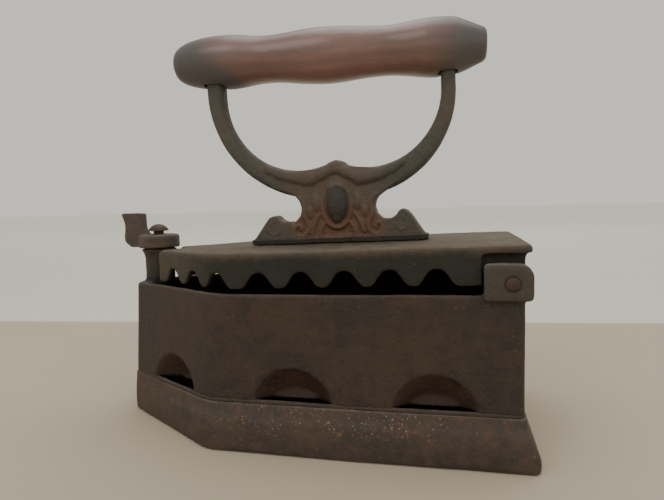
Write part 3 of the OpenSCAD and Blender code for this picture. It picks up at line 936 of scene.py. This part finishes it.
class Clay:
    """Closed lumps that are modelled in millimetres and fused into one skin."""

    def __init__(self) -> None:
        """Starts with no lumps."""
        self.mesh = bmesh.new()

    def _skin(self, rows: Sequence[Sequence[bmesh.types.BMVert]]) -> None:
        """Adds the faces between rows of corners that each close on themselves.

        Args:
            rows: The rows in order, all of one length.
        """
        count = len(rows[0])
        for low, high in zip(rows, rows[1:]):
            for i in range(count):
                j = (i + 1) % count
                self.mesh.faces.new((low[i], low[j], high[j], high[i]))

    def loft(self, rings: Sequence[Sequence[Point]]) -> None:
        """Adds a skin through rings of equal length, closed at both ends.

        Args:
            rings: The rings in order.
        """
        rows = [[self.mesh.verts.new(p) for p in ring] for ring in rings]
        self._skin(rows)
        self.mesh.faces.new(rows[0][::-1])
        self.mesh.faces.new(rows[-1])

    def prism(self, outline: Sequence[Flat], half: float) -> None:
        """Adds an outline in X and Z, thick by half to each side of the middle plane."""
        self.loft([[(x, side * half, z) for x, z in outline] for side in BOTH_WAYS])

    def slab(self, outline: Sequence[Flat], low: float, high: float) -> None:
        """Adds an outline in X and Y, from one height to another."""
        self.loft([[(x, y, z) for x, y in outline] for z in (low, high)])

    def tube(self, path: Sequence[Flat], y: float, radii: Sequence[float], points: int = 10) -> None:
        """Adds a round rib that follows a path on a face of the casting.

        Args:
            path: Points in X and Z.
            y: The rib's place across the casting.
            radii: Radius at the start, middle and end.
            points: Number of points round the rib.
        """
        last = len(path) - 1
        rings = []
        for i, (x, z) in enumerate(path):
            ahead, behind = path[min(i + 1, last)], path[max(i - 1, 0)]
            way = Vector((ahead[0] - behind[0], ahead[1] - behind[1])).normalized()
            share = 2 * i / last
            first, second = (radii[0], radii[1]) if share < 1 else (radii[1], radii[2])
            radius = first + (second - first) * (share % 1 if share < 2 else 1)
            rings.append([(x - way.y * u, y + v, z + way.x * u) for u, v in circle(radius, points)])
        self.loft(rings)

    def ring(self, line: Sequence[Flat], z: float, radius: float, points: int = 8) -> None:
        """Adds a closed round bead along a level outline.

        Args:
            line: The outline in X and Y.
            z: Its height.
            radius: The bead's radius.
            points: Number of points round the bead.
        """
        rows = []
        offsets = circle(radius, points)
        for i, (x, y) in enumerate(line):
            ahead, behind = line[(i + 1) % len(line)], line[i - 1]
            way = Vector((ahead[0] - behind[0], ahead[1] - behind[1])).normalized()
            rows.append([self.mesh.verts.new((x + way.y * u, y - way.x * u, z + v)) for u, v in offsets])
        self._skin([*rows, rows[0]])

    def ball(self, centre: Point, halves: Point) -> None:
        """Adds a ball with its own half size along each axis."""
        shape = Matrix.Translation(centre) @ Matrix.Diagonal((*halves, 1))
        bmesh.ops.create_icosphere(self.mesh, subdivisions=3, radius=1, matrix=shape)

    def fuse(self, name: str, place: Matrix) -> bpy.types.Object:
        """Turns the lumps into an object.

        Args:
            name: The object's name.
            place: Takes millimetres in the clay's frame to metres in the shared frame.

        Returns:
            The object, with its lumps not yet melted together.
        """
        bmesh.ops.recalc_face_normals(self.mesh, faces=self.mesh.faces)
        self.mesh.transform(place)
        data = bpy.data.meshes.new(name)
        self.mesh.to_mesh(data)
        self.mesh.free()
        piece = bpy.data.objects.new(name, data)
        bpy.context.scene.collection.objects.link(piece)
        return piece


# ---------------------------------------------------------------------------
# Sub-assemblies
# ---------------------------------------------------------------------------


def dress(piece: bpy.types.Object, material: bpy.types.Material) -> None:
    """Gives a piece its one finish.

    Args:
        piece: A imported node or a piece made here.
        material: Its finish.
    """
    if not piece.material_slots:
        piece.data.materials.append(material)
    for slot in piece.material_slots:
        slot.link = "OBJECT"
        slot.material = material


@dataclass
class CastNode:
    """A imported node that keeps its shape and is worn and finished."""

    node: str
    finish: RustedIron | TurnedWood
    wear: WornCasting

    def build(self, frame: Mapping[str, Any]) -> None:
        """Wears and dresses the node.

        Args:
            frame: The loaded frame.
        """
        piece = frame["nodes"][self.node]
        self.wear.apply(piece)
        dress(piece, self.finish.material())
        LOG.info("%s dressed", self.node)


@dataclass
class Sole(CastNode):
    """The heavy sole plate with its stepped ledge."""

    node: str = "sole_plate"
    finish: SoleIron = SoleIron(
        name=Slot.SOLE.value, skin=tint(66, 58, 51), rust=tint(77, 62, 52), rust_share=0.5,
        fresh=tint(94, 68, 50), fresh_share=0.2, dust_share=0.35, speck_share=0.3, seed=10,
    )
    wear: WornCasting = WornCasting(voxel=0.95, rounds=3, lump_depth=0.35, lump_size=16)


@dataclass
class Casing(CastNode):
    """The fire box with its scoops, hinge cheeks and catch post, and the seam at its foot."""

    node: str = "casing"
    finish: CasingIron = CasingIron(
        name=Slot.CASING.value, skin=tint(57, 50, 44), rust=tint(68, 53, 43), rust_share=0.5,
        fresh=tint(88, 62, 48), fresh_share=0.1, dust_share=0.25, speck_share=0.18, seed=20,
    )
    wear: WornCasting = WornCasting(voxel=0.95, rounds=4, lump_depth=0.35)
    seam_wear: WornCasting = WornCasting(voxel=0.5, rounds=2, lump_depth=0.3, lump_size=5, pit_size=2)
    bead_r: float = 1.5
    bead_inset: float = 1.0
    bead_lift: float = 0.1

    def build(self, frame: Mapping[str, Any]) -> None:
        """Dresses the casing and runs a bead of old putty and rust along its foot.

        Args:
            frame: The loaded frame.
        """
        super().build(frame)
        plan = self.finish.plan
        clay = Clay()
        clay.ring(plan.outline(self.bead_inset), plan.foot_z + self.bead_lift, self.bead_r)
        seam = clay.fuse("casing_seam", Matrix.Scale(MM, 4))
        self.seam_wear.apply(seam)
        dress(seam, frame["nodes"][self.node].material_slots[0].material)
        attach(seam, Body.BASE.value)
        LOG.info("casing_seam modelled")


@dataclass
class Grate(CastNode):
    """The slotted plate that the charcoal lies on."""

    node: str = "grate"
    finish: RustedIron = RustedIron(
        name=Slot.SOOTY.value, skin=tint(30, 28, 27), rust=tint(62, 44, 34), dust=tint(128, 124, 118),
        rust_share=0.3, dust_share=0.55, speck_share=0.5, roughness=0.8, seed=30,
    )
    wear: WornCasting = WornCasting(voxel=0.7, rounds=4)


@dataclass
class Lid(CastNode):
    """The lid with its scalloped skirt."""

    node: str = "lid"
    finish: LidIron = LidIron(
        name=Slot.LID.value, skin=tint(70, 62, 52), rust=tint(80, 66, 52), dust=tint(114, 104, 88),
        rust_share=0.5, fresh=tint(92, 66, 48), fresh_share=0.15, dust_share=0.55, speck_share=0.3,
        seed=40,
    )
    wear: WornCasting = WornCasting(voxel=0.8, rounds=4, lump_depth=0.4, lump_size=18)


@dataclass
class Catch(CastNode):
    """The swivel catch on the toe's post."""

    node: str = "catch"
    finish: RustedIron = RustedIron(
        name=Slot.CATCH.value, skin=tint(78, 70, 62), rust=tint(88, 74, 64), rust_share=0.45,
        fresh=tint(92, 68, 54), fresh_share=0.05, dust_share=0.25, speck_share=0.1, seed=50,
    )
    wear: WornCasting = WornCasting(voxel=0.45, rounds=6, lump_depth=0.3, lump_size=7, pit_depth=0.08)


@dataclass
class Fasteners:
    """Rivets, pins, screws, bolts and washers."""

    finish: RustedIron = RustedIron(
        name=Slot.FASTENER.value, skin=tint(60, 52, 46), rust=tint(68, 50, 42), rust_share=0.45,
        fresh=tint(80, 56, 44), fresh_share=0.1, dust_share=0.25, speck_share=0.1,
        roughness=0.55, metal=0.5, pit_depth=0.2, seed=60,
    )
    wear: WornCasting = WornCasting(voxel=0.28, rounds=4, lump_depth=0.1, lump_size=4, pit_depth=0.05)
    nodes: tuple[str, ...] = (
        "casing_screws", "hinge_pin", "catch_rivet", "yoke_bolts", "yoke_washers", "grip_screws",
    )

    def build(self, frame: Mapping[str, Any]) -> None:
        """Dresses every fastener with one finish.

        Args:
            frame: The loaded frame.
        """
        material = self.finish.material()
        for node in self.nodes:
            piece = frame["nodes"][node]
            self.wear.apply(piece)
            dress(piece, material)
            LOG.info("%s dressed", node)


@dataclass
class Grip(CastNode):
    """The turned wooden grip."""

    node: str = "grip"
    finish: TurnedWood = TurnedWood(name=Slot.GRIP.value)
    wear: WornCasting = WornCasting(voxel=0.8, rounds=6, lump_depth=0.6, lump_size=22, pit_depth=0.05)


@dataclass(frozen=True)
class Arm:
    """An arm of the yoke: it lies between its outer arc and the arc of the bay inside it."""

    centre: Flat
    radius: float
    bay: Flat
    bay_radius: float
    top: float
    way: int


@dataclass
class Yoke:
    """The sculpted yoke: two arms, a leafy brow, an oval cabochon, scrolls and a humped foot.

    Places are in the lid's frame, in X and Z. A neck is the hollow between the waist and a hump. The ribs
    and the fans are measured from the waist's middle.
    """

    lid_frame: LidFrame = LidFrame()
    finish: YokeIron = YokeIron(
        name=Slot.YOKE.value, skin=tint(80, 79, 72), rust=tint(88, 80, 70), rust_share=0.45,
        fresh=tint(98, 76, 60), fresh_share=0.12, dust_share=0.35, speck_share=0.15,
        wear_share=0.6, seed=70,
    )
    arm_half: float = 5.0
    front_arm: Arm = Arm((3.8, 80.7), 58.2, (-5.5, 77.0), 39.3, top=90.6, way=-1)
    rear_arm: Arm = Arm((22.7, 72.7), 50.0, (29.4, 73.3), 36.0, top=86.1, way=1)
    sweep: float = 80.0
    neck_r: float = 6.2
    front_neck: Flat = (-14.2, 17.8)
    rear_neck: Flat = (37.6, 17.4)
    panel_half: float = 4.3
    leaf_half: float = 6.1
    leaf_squareness: float = 2.3
    front_brow: Sequence[Flat] = (
        (-24.0, 35.5), (-15.0, 31.4), (-7.4, 29.2), (-1.1, 27.4), (5.0, 30.0), (12.6, 33.8),
    )
    rear_brow: Sequence[Flat] = (
        (12.2, 33.8), (18.0, 30.4), (23.7, 26.6), (29.0, 27.4), (34.1, 28.8), (41.0, 31.6), (48.0, 36.0),
    )
    waist: Sequence[Flat] = (
        (-21.0, 29.3), (-15.5, 27.2), (-9.6, 24.6), (-7.3, 21.5), (-6.3, 18.2), (-7.0, 14.5), (-10.4, 11.0),
        (-12.0, 4.0), (-12.0, 1.4), (37.0, 1.4), (37.0, 4.0), (35.7, 11.0), (32.4, 14.0), (31.5, 17.4),
        (32.0, 20.2), (33.6, 22.6), (39.9, 26.7), (43.0, 29.0), (43.0, 36.0), (12.6, 38.5), (-21.0, 36.0),
    )
    crest: Flat = (12.4, 37.0)
    crest_half: Flat = (6.8, 4.7)
    leaf_tip: Flat = (12.4, 28.0)
    leaf_tip_half: Point = (5.6, 1.7, 3.4)
    cabochon: Flat = (12.4, 19.6)
    cabochon_half: Point = (5.7, 3.0, 9.0)
    rim_half: Flat = (7.4, 11.0)
    rim_drop: float = 1.0
    rim_turn: Flat = (104.0, 436.0)
    scroll: Sequence[Flat] = (
        (-7.4, 24.0), (-5.3, 21.2), (-4.5, 18.0), (-4.9, 14.8), (-3.9, 11.4), (-2.9, 8.2), (-4.0, 5.0),
        (-7.0, 3.8), (-9.8, 5.4), (-9.9, 8.2), (-8.0, 9.4), (-6.4, 8.0), (-7.0, 6.6),
    )
    scroll_twin_x: float = 12.6
    inner_rib: Sequence[Flat] = ((6.0, 11.0), (8.2, 7.4), (9.2, 4.0))
    outer_rib: Sequence[Flat] = ((8.6, 15.4), (11.6, 10.6), (13.4, 4.6))
    fans: Sequence[tuple[Flat, Point]] = (((10.6, 20.6), (2.2, 1.3, 5.0)), ((14.0, 15.6), (1.6, 1.1, 3.4)))
    hump_half: float = 5.7
    eyes: tuple[Flat, Flat] = ((-20.4, 7.6), (43.8, 8.0))
    eye_reach: Flat = (4.6, 1.6)
    band_half: float = 5.2
    foot_half: float = 6.8
    foot_ends: Flat = (-34.0, 57.4)
    foot_z: Flat = (0.1, 3.0)
    foot_chamfer: float = 2.5
    bolts: Flat = (-19.0, 43.0)
    boss_r: float = 6.0
    boss_z: Flat = (0.1, 2.0)
    wear: WornCasting = WornCasting(
        voxel=0.48, rounds=3, lump_depth=0.25, lump_size=9, pit_depth=0.1, pit_size=2
    )

    def _arm(self, clay: Clay, arm: Arm) -> None:
        """Sweeps one arm down from the grip and in to the waist.

        Args:
            clay: Where the arm goes.
            arm: The arm's arcs.
        """
        rings = []
        # A straight stretch down to the arcs, then the arcs, thinning to the waist's panel
        steps, chords = 6, 40
        for share in (i / steps for i in range(steps)):
            out = (arm.centre[0] + arm.way * arm.radius, arm.top + (arm.centre[1] - arm.top) * share)
            within = (arm.bay[0] + arm.way * arm.bay_radius, arm.top + (arm.bay[1] - arm.top) * share)
            rings.append(section(out, within, self.arm_half))
        start, end = (0, -self.sweep) if arm.way > 0 else (180, 180 + self.sweep)
        outer_arc = arc(arm.centre, arm.radius, start, end, chords)
        inner_arc = arc(arm.bay, arm.bay_radius, start, end, chords)
        thin = self.arm_half - self.panel_half
        for k, (out, within) in enumerate(zip(outer_arc, inner_arc)):
            rings.append(section(out, within, self.arm_half - thin * max(0.0, 2 * k / chords - 1)))
        clay.loft(rings)

    def _brow(self, clay: Clay, edge: Sequence[Flat], arm: Arm) -> None:
        """Adds one swelling leaf between a bay's arc and its own wavy lower edge.

        Args:
            clay: Where the leaf goes.
            edge: Its lower edge.
            arm: The arm whose bay lies above it.
        """
        first, last = edge[0][0], edge[-1][0]
        steps = 26
        rings = []
        for i in range(steps + 1):
            x = first + (last - first) * i / steps
            high = arm.bay[1] - math.sqrt(max(0.0, arm.bay_radius**2 - (x - arm.bay[0]) ** 2))
            swell = math.sin(math.pi * min(1.0, (0.12 + i / steps) * 0.9)) ** 0.4
            half = self.leaf_half * (0.8 + 0.2 * swell)
            rings.append(section((x, between(edge, x)), (x, high), half, self.leaf_squareness))
        clay.loft(rings)

    def _humps(self, clay: Clay) -> None:
        """Adds the foot's two humps, the low band between them and a faint curl on each hump's faces.

        Args:
            clay: Where they go.
        """
        # Each hump slopes up, rounds over and falls in a hollow that runs up into the waist
        front = [(-33.0, 1.0), (-32.4, 2.7), (-25.6, 11.6), (-23.4, 14.2), (-20.8, 15.1),
                 *arc(self.front_neck, self.neck_r, 214, 284, 8), (-9.8, 9.0), (-9.0, 1.0)]
        rear = [(33.4, 1.0), (34.2, 9.0), *arc(self.rear_neck, self.neck_r, 252, 336, 8),
                (45.0, 15.9), (47.4, 15.0), (49.6, 12.6), (55.9, 2.7), (56.5, 1.0)]
        clay.prism(front, self.hump_half)
        clay.prism(rear, self.hump_half)
        clay.prism([(-12.0, 1.0), (-12.0, 3.6), (37.0, 3.6), (37.0, 1.0)], self.band_half)
        steps = 16
        wide, tight = self.eye_reach
        for face in BOTH_WAYS:
            y = face * (self.hump_half - 0.2)
            for way, eye in zip(BOTH_WAYS, self.eyes):
                base = 90 + way * 20
                turns = [
                    (math.radians(base - way * 18 * i), wide - (wide - tight) * i / steps)
                    for i in range(steps + 1)
                ]
                curl = [(eye[0] + reach * math.cos(a), eye[1] + reach * math.sin(a)) for a, reach in turns]
                clay.tube(curl, y, (0.4, 0.7, 0.5))

    def _ornament(self, clay: Clay) -> None:
        """Adds the cabochon, its rim, the scrolls, the ribs and the fans to both faces.

        Args:
            clay: Where they go.
        """
        cx, cz = self.cabochon
        half_x, rise, half_z = self.cabochon_half
        front = smooth(self.scroll)
        rear = [(2 * self.scroll_twin_x - x, z) for x, z in front]
        start, end = self.rim_turn
        chords = 40
        turns = [math.radians(start + (end - start) * i / chords) for i in range(chords + 1)]
        rim_x, rim_z = self.rim_half
        hoop = [(cx + rim_x * math.cos(a), cz - self.rim_drop + rim_z * math.sin(a)) for a in turns]
        for face in BOTH_WAYS:
            y = face * self.panel_half
            clay.ball((cx, y, cz), (half_x, rise, half_z))
            clay.ball((cx, y, cz - half_z * 0.62), (half_x * 0.6, 2.3, half_z * 0.5))
            clay.ball((self.leaf_tip[0], y, self.leaf_tip[1]), self.leaf_tip_half)
            clay.tube(hoop, y, (0.7, 1.35, 0.7))
            for path in (front, rear):
                clay.tube(path, y, (0.7, 1.3, 0.9))
            for way in BOTH_WAYS:
                for rib, radii in ((self.inner_rib, (0.9, 1.0, 1.2)), (self.outer_rib, (0.7, 1.0, 1.2))):
                    clay.tube(smooth([(cx + way * x, z) for x, z in rib]), y, radii)
                for (x, z), halves in self.fans:
                    clay.ball((cx + way * x, y * 0.95, z), halves)

    def build(self) -> None:
        """Models the yoke and puts it in place of the plain one."""
        clay = Clay()
        self._arm(clay, self.front_arm)
        self._arm(clay, self.rear_arm)
        self._brow(clay, self.front_brow, self.front_arm)
        self._brow(clay, self.rear_brow, self.rear_arm)
        half_x, half_z = self.crest_half
        clay.ball((self.crest[0], 0, self.crest[1]), (half_x, self.leaf_half - 0.3, half_z))
        clay.prism(self.waist, self.panel_half)
        self._ornament(clay)
        self._humps(clay)
        x0, x1 = self.foot_ends
        half, cut = self.foot_half, self.foot_chamfer
        plate = [(x0 + cut, -half), (x1 - cut, -half), (x1, -half + cut), (x1, half - cut),
                 (x1 - cut, half), (x0 + cut, half), (x0, half - cut), (x0, -half + cut)]
        clay.slab(plate, *self.foot_z)
        for x in self.bolts:
            clay.slab([(x + u, v) for u, v in circle(self.boss_r, 24)], *self.boss_z)
        piece = clay.fuse("yoke", self.lid_frame.matrix())
        self.wear.apply(piece)
        dress(piece, self.finish.material())
        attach(piece, Body.LID.value)
        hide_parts("handle_yoke")
        LOG.info("yoke modelled")


# ---------------------------------------------------------------------------
# Studio
# ---------------------------------------------------------------------------


@dataclass
class Studio:
    """A pale table, an even backdrop, soft lights and the camera."""

    floor: FloorPaint = FloorPaint("table", tint(187, 176, 157), tint(216, 214, 204), tint(244, 242, 235))
    floor_half: float = 6.0
    sky: Colour = tint(192, 189, 180)
    sky_strength: float = 1.48
    eye: Point = (0.0680, -0.2694, 0.1117)
    yaw: float = 12.573
    pitch: float = 5.255
    roll: float = -1.463
    lens: float = 29.09
    lamps: Sequence[tuple[str, Point, float, float]] = field(
        default_factory=lambda: (
            ("ceiling", (0.1, 0.25, 1.3), 1.2, 6.0),
            ("window", (-0.5, -0.9, 1.1), 0.7, 2.5),
            ("fill", (0.9, -0.8, 0.6), 0.9, 1.0),
        )
    )

    def _floor(self) -> None:
        """Lays the table's top."""
        data = bpy.data.meshes.new("table_top")
        half = self.floor_half
        corners = [(x * half, y * half, 0) for x, y in ((-1, -1), (1, -1), (1, 1), (-1, 1))]
        data.from_pydata(corners, [], [(0, 1, 2, 3)])
        top = bpy.data.objects.new("table_top", data)
        bpy.context.scene.collection.objects.link(top)
        dress(top, self.floor.material())

    def _sky(self) -> None:
        """Sets the even backdrop."""
        world = bpy.data.worlds.new("backdrop")
        world.use_nodes = True
        backdrop = world.node_tree.nodes["Background"]
        backdrop.inputs["Color"].default_value = (*self.sky, 1)
        backdrop.inputs["Strength"].default_value = self.sky_strength
        bpy.context.scene.world = world

    def _lamp(self, name: str, place: Point, size: float, power: float) -> None:
        """Hangs one soft lamp that looks at the object.

        Args:
            name: Its name.
            place: Where it hangs, in metres.
            size: Its width in metres.
            power: Its power in watts.
        """
        lamp = bpy.data.lights.new(name, "AREA")
        lamp.shape = "DISK"
        lamp.size = size
        lamp.energy = power
        hung = bpy.data.objects.new(name, lamp)
        hung.location = place
        hung.rotation_euler = (Vector((0, 0, 0.08)) - Vector(place)).to_track_quat("-Z", "Y").to_euler()
        bpy.context.scene.collection.objects.link(hung)

    def _camera(self) -> None:
        """Sets up the camera."""
        yaw, pitch, roll = (math.radians(a) for a in (self.yaw, self.pitch, self.roll))
        reach = math.cos(pitch)
        ahead = Vector((-math.sin(yaw) * reach, math.cos(yaw) * reach, -math.sin(pitch)))
        level = Vector((math.cos(yaw), math.sin(yaw), 0))
        above = level.cross(ahead)
        right = level * math.cos(roll) + above * math.sin(roll)
        up = above * math.cos(roll) - level * math.sin(roll)
        lens = bpy.data.cameras.new("camera")
        lens.lens = self.lens
        lens.sensor_width = 36.0
        lens.clip_start = 0.01
        camera = bpy.data.objects.new("camera", lens)
        turn = Matrix((right, up, -ahead)).transposed().to_4x4()
        camera.matrix_world = Matrix.Translation(self.eye) @ turn
        bpy.context.scene.collection.objects.link(camera)
        bpy.context.scene.camera = camera

    def build(self) -> None:
        """Sets up everything round the object."""
        self._floor()
        self._sky()
        for lamp in self.lamps:
            self._lamp(*lamp)
        self._camera()
        LOG.info("studio set up")


def main() -> None:
    """Loads the frame, and dresses and models every piece."""
    logging.basicConfig(level=logging.INFO, format="%(name)s: %(message)s")
    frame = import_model()
    Studio().build()
    for part in (Sole(), Casing(), Grate(), Lid(), Catch(), Fasteners(), Grip()):
        part.build(frame)
    Yoke().build()
    bpy.context.view_layer.update()


if __name__ == "__main__":
    main()
